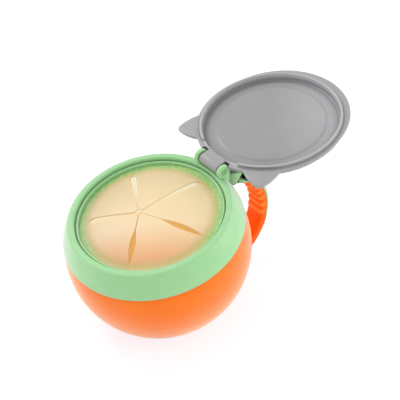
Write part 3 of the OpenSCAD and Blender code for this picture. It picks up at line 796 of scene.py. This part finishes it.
def grip_mesh(rows=220, tip_rows=8):
    """From the level cut at the top, past the finger ribs and the spine's runout, to the rounded tip."""
    loops = []
    for i in range(rows + 1):
        share = i / rows
        past = max(0.0, GRIP_RUNOUT - (GRIP_TOP + (GRIP_TIP - GRIP_TOP) * share))
        limit = (SPINE_IN_R - 0.2) / math.cos(math.radians(past)) if past < 19 else LOOP_R
        outer = max(SPINE_IN_R, min(limit, LOOP_R)) if past > 0 else SPINE_IN_R
        loop = []
        for r, y in grip_section(outer, 0.25 + 1.75 * smoothstep(outer, 35.2, LOOP_R)):
            top = math.degrees(math.asin((GRIP_LEVEL - LOOP[1]) / r))
            angle = top + (GRIP_TIP - top) * share
            phase = (FINGER_FIRST - math.radians(angle)) / FINGER_STEP
            rib = math.exp(-(abs(phase - round(phase)) / 0.3) ** 2) if -0.5 < phase < 5.5 else 0.0
            rib *= 1 - smoothstep(r, INNER_R, INNER_R + 4.6)
            loop.append(on_loop(angle, r - FINGER_DEPTH * rib, y * (1 + 0.008 * rib)))
        loops.append(loop)
    mid, half = (INNER_R + LOOP_R) / 2, (LOOP_R - INNER_R) / 2
    last = grip_section(LOOP_R, GRIP_ROUND)
    for k in range(1, tip_rows + 1):
        a = math.pi / 2 * k / tip_rows
        turn = math.degrees(half * math.sin(a) / mid)
        squeeze = max(0.02, math.cos(a))
        loops.append([on_loop(GRIP_TIP - turn, mid + (r - mid) * squeeze, y * (1 - 0.06 * (1 - squeeze)))
                      for r, y in last])
    return rings(loops)


grip = make("soft_grip", *grip_mesh(), GRIP, "collar", "grip_rubber", sharp=60)
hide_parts("handle_grip")

frame_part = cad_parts["handle_frame"]
frame_part.data.materials.clear()
# The handle frame takes the bracket's green with its strong painted shade.
frame_part.data.materials.append(SHADED_GREEN)


# Hinge pin

def pin_mesh(segments=40):
    """The pin with a low domed head on the outside of each lug."""
    x, h = HINGE
    side = [(PIN_R, 0.0), (PIN_R, LUG_OUT - 0.05), (PIN_HEAD_R, LUG_OUT - 0.02),
            (PIN_HEAD_R, LUG_OUT + 0.22), (1.38, LUG_OUT + 0.4), (1.05, LUG_OUT + 0.52),
            (0.6, LUG_OUT + 0.5), (0.45, LUG_OUT + 0.38), (0.02, LUG_OUT + 0.36)]
    profile = [(r, -y) for r, y in reversed(side)] + side[1:]
    angles = [2 * math.pi * i / segments for i in range(segments)]
    return rings([[(x + r * math.cos(a), y, h + r * math.sin(a)) for a in angles] for r, y in profile])


# The pin takes the bracket's green, so painted shade rings each head.
pin = make("pin_with_heads", *pin_mesh(), SHADED_GREEN, "collar", "collar_plastic", RIM, sharp=30)
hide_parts("hinge_pin")


# Stage, light and camera: the lamps' places and sizes are in metres, the rest is in millimetres

FLOOR_HALF_W = 3000.0
WORLD_BACK, WORLD_FRONT = 0.92, 0.88
LIGHT_TARGET = (0.02, 0, 0.05)
PHOTO_PX, FOCAL_PX, SENSOR_W = 400.0, 700.0, 36.0
EYE_RIGHT, EYE_UP, EYE_BACK = (0.7892, -0.6142, 0.0), (0.3879, 0.4984, 0.7754), (-0.4762, -0.6119, 0.6315)
EYE_PLACE = (-152.7, -232.3, 298.5)


def stage_material():
    """The camera sees a floor lit up to white, with a soft shadow, and other rays meet plain white."""
    mat = bpy.data.materials.new("floor_white")
    mat.use_nodes = True
    shading = Shading(mat)
    plain = shading.nodes["Principled BSDF"]
    plain.inputs["Base Color"].default_value = (0.95, 0.95, 0.95, 1)
    plain.inputs["Roughness"].default_value = 0.9
    plain.inputs["Specular IOR Level"].default_value = 0.0
    lit = shading.add("BsdfDiffuse", {"Color": (0.42, 0.36, 0.30, 1)})
    glow = shading.add("Emission", {"Color": (0.68, 0.73, 0.79, 1)})
    seen = shading.add("AddShader", {0: lit.outputs[0], 1: glow.outputs[0]})
    is_camera = shading.add("LightPath").outputs["Is Camera Ray"]
    mix = shading.add("MixShader", {0: is_camera, 1: plain.outputs[0], 2: seen.outputs[0]})
    shading.put(shading.nodes["Material Output"].inputs["Surface"], mix.outputs[0])
    return mat


def build_world():
    """A white world, a little dimmer towards the near side, and full white where the camera sees it."""
    world = bpy.data.worlds.new("world")
    bpy.context.scene.world = world
    world.use_nodes = True
    shading = Shading(world)
    background = shading.nodes["Background"]
    background.inputs["Color"].default_value = (1, 1, 1, 1)
    towards = shading.add("TexCoord").outputs["Generated"]
    nearness = shading.vector("DOT_PRODUCT", towards, NEAR_SIDE)["Value"]
    level = shading.span(nearness, -0.1, 0.95, WORLD_BACK, WORLD_FRONT, smooth=True)
    path = shading.add("LightPath").outputs
    seen = shading.math("MAXIMUM", path["Is Camera Ray"], path["Is Transmission Ray"])
    strength = shading.add("Mix", {"Factor": seen, "A": level, "B": 1.0})
    shading.put(background.inputs["Strength"], strength.outputs["Result"])


def area_light(name, at, power, width):
    data = bpy.data.lights.new(name, "AREA")
    data.energy = power
    data.shape = "DISK"
    data.size = width
    obj = bpy.data.objects.new(name, data)
    obj.location = at
    obj.rotation_mode = "QUATERNION"
    obj.rotation_quaternion = (Vector(LIGHT_TARGET) - Vector(at)).to_track_quat("-Z", "Y")
    bpy.context.scene.collection.objects.link(obj)


def place_camera():
    data = bpy.data.cameras.new("camera")
    data.sensor_width = SENSOR_W
    data.lens = SENSOR_W * FOCAL_PX / PHOTO_PX
    data.clip_start, data.clip_end = 0.01, 20
    eye = bpy.data.objects.new("camera", data)
    eye.rotation_mode = "QUATERNION"
    eye.rotation_quaternion = Matrix((EYE_RIGHT, EYE_UP, EYE_BACK)).transposed().to_quaternion()
    eye.location = Vector(EYE_PLACE) * MM
    bpy.context.scene.collection.objects.link(eye)
    bpy.context.scene.camera = eye


corners = [(x * FLOOR_HALF_W, y * FLOOR_HALF_W, 0) for x, y in ((-1, -1), (1, -1), (1, 1), (-1, 1))]
floor = make("floor", corners, [(0, 1, 2, 3)], stage_material())
build_world()
area_light("back_light", (-0.15, 0.75, 0.75), 3.0, 0.45)
area_light("right_light", (0.60, -0.42, 0.22), 1.6, 0.4)
place_camera()
bpy.context.scene.view_settings.view_transform = "Standard"
